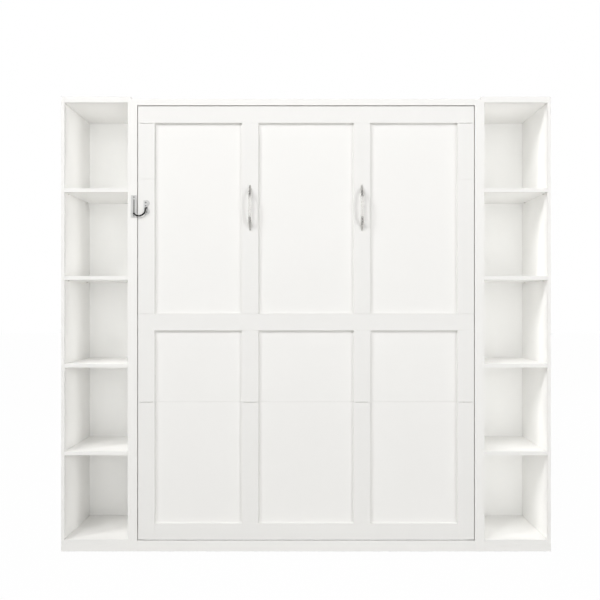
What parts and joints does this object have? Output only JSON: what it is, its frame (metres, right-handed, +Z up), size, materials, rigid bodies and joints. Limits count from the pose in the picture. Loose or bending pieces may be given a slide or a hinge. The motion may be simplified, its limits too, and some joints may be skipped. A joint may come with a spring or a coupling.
{
  "type": "wall bed with fold down desk",
  "caption": "White upright wall bed in a cabinet with a shaker face, a fold down desk leaf in the face and an open bookcase on each side.",
  "frame": {"origin": "centre of the bounding box in plan, on the floor", "axes": "+X to the right across the front, +Y from the front towards the wall, +Z up"},
  "size_m": [2.356, 0.514, 2.187],
  "materials": {
    "cabinet_paint": "painted white, satin",
    "face_paint": "painted white, satin",
    "bed_board": "white faced board, matt",
    "slat_wood": "bare beech, planed",
    "hinge_enamel": "white enamel",
    "zinc_steel": "zinc plated",
    "nickel": "satin nickel",
    "strut_black": "black enamel",
    "strut_chrome": "polished",
    "nylon": "plain",
    "chain_black": "black enamel"
  },
  "bodies": {
    "cabinet": {"cabinet_side_left": "cabinet_paint", "cabinet_side_right": "cabinet_paint", "cabinet_top": "cabinet_paint", "cabinet_plinth": "cabinet_paint", "cabinet_back": "cabinet_paint", "wall_rail": "cabinet_paint", "floor_rail": "cabinet_paint", "left_outer_side": "cabinet_paint", "left_inner_side": "cabinet_paint", "left_top": "cabinet_paint", "left_floor": "cabinet_paint", "left_back": "cabinet_paint", "left_shelves": "cabinet_paint", "right_outer_side": "cabinet_paint", "right_inner_side": "cabinet_paint", "right_top": "cabinet_paint", "right_floor": "cabinet_paint", "right_back": "cabinet_paint", "right_shelves": "cabinet_paint", "bookcase_plinths": "cabinet_paint", "shelf_pins": "nylon", "pivot_plates": "zinc_steel", "pivot_pins": "zinc_steel", "strut_anchors": "zinc_steel", "chain_track": "nickel"},
    "bed": {"upper_board": "face_paint", "lower_board": "face_paint", "top_rail": "face_paint", "bottom_rail": "face_paint", "upper_uprights": "face_paint", "lower_uprights": "face_paint", "bed_rail_left": "bed_board", "bed_rail_right": "bed_board", "end_boards": "bed_board", "centre_beam": "slat_wood", "side_ledgers": "slat_wood", "slats": "slat_wood", "niche_boards": "face_paint", "niche_back": "face_paint", "mattress_bar": "zinc_steel", "handle_left": "nickel", "handle_right": "nickel", "pivot_bushes": "nylon", "strut_studs": "zinc_steel", "hinge_halves": "hinge_enamel", "stay_tracks": "zinc_steel", "chain_plate": "nickel"},
    "leaf": {"leaf_board": "face_paint", "mid_rail": "face_paint", "leaf_uprights": "face_paint", "leaf_fittings": "hinge_enamel"},
    "stay_left": {"stay_arm_left": "zinc_steel"},
    "stay_right": {"stay_arm_right": "zinc_steel"},
    "leg_left": {"leg_left": "face_paint"},
    "leg_right": {"leg_right": "face_paint"},
    "tube_left": {"strut_tube_left": "strut_black"},
    "tube_right": {"strut_tube_right": "strut_black"},
    "rod_left": {"strut_rod_left": "strut_chrome"},
    "rod_right": {"strut_rod_right": "strut_chrome"},
    "chain": {"safety_chain": "chain_black"}
  },
  "joints": [
    {"name": "bed_tilt", "type": "hinge", "parent": "cabinet", "child": "bed", "pos_m": [0, -0.143, 0.35], "axis": [1, 0, 0], "range_deg": [0, 90], "stiffness_Nm_per_rad": 420, "springref_deg": -14.32},
    {"name": "leaf_fold", "type": "hinge", "parent": "bed", "child": "leaf", "pos_m": [0, -0.223, 0.719], "axis": [1, 0, 0], "range_deg": [0, 90]},
    {"name": "stay_left_fold", "type": "hinge", "parent": "leaf", "child": "stay_left", "pos_m": [-0.7567, -0.187, 0.869], "axis": [1, 0, 0], "range_deg": [-145.01, 0]},
    {"name": "stay_right_fold", "type": "hinge", "parent": "leaf", "child": "stay_right", "pos_m": [0.7567, -0.187, 0.869], "axis": [1, 0, 0], "range_deg": [-145.01, 0]},
    {"name": "leg_left_fold", "type": "hinge", "parent": "bed", "child": "leg_left", "pos_m": [-0.768, -0.223, 2.061], "axis": [-1, 0, 0], "range_deg": [0, 90]},
    {"name": "leg_right_fold", "type": "hinge", "parent": "bed", "child": "leg_right", "pos_m": [0.768, -0.223, 2.061], "axis": [-1, 0, 0], "range_deg": [0, 90]},
    {"name": "strut_left_swing", "type": "hinge", "parent": "cabinet", "child": "tube_left", "pos_m": [-0.7975, -0.09785, 0.60605], "axis": [1, 0, 0], "range_deg": [0, 45.5]},
    {"name": "strut_left_stroke", "type": "slide", "parent": "tube_left", "child": "rod_left", "axis": [0, 0.0872, 0.9962], "range_m": [0, 0.18477]},
    {"name": "strut_right_swing", "type": "hinge", "parent": "cabinet", "child": "tube_right", "pos_m": [0.7975, -0.09785, 0.60605], "axis": [1, 0, 0], "range_deg": [0, 45.5]},
    {"name": "strut_right_stroke", "type": "slide", "parent": "tube_right", "child": "rod_right", "axis": [0, 0.0872, 0.9962], "range_m": [0, 0.18477]},
    {"name": "chain_swing", "type": "hinge", "parent": "bed", "child": "chain", "pos_m": [-0.765, -0.232, 1.651], "axis": [0, 0, 1], "range_deg": [0, 90]}
  ],
  "couplings": [
    {"joint": "stay_left_fold", "follows": "leaf_fold", "ratio": -1.6101},
    {"joint": "strut_left_swing", "follows": "bed_tilt", "ratio": 0.5},
    {"joint": "strut_left_stroke", "follows": "bed_tilt", "m_per_rad": 0.11699},
    {"joint": "stay_right_fold", "follows": "leaf_fold", "ratio": -1.6101},
    {"joint": "strut_right_swing", "follows": "bed_tilt", "ratio": 0.5},
    {"joint": "strut_right_stroke", "follows": "bed_tilt", "m_per_rad": 0.11699}
  ]
}
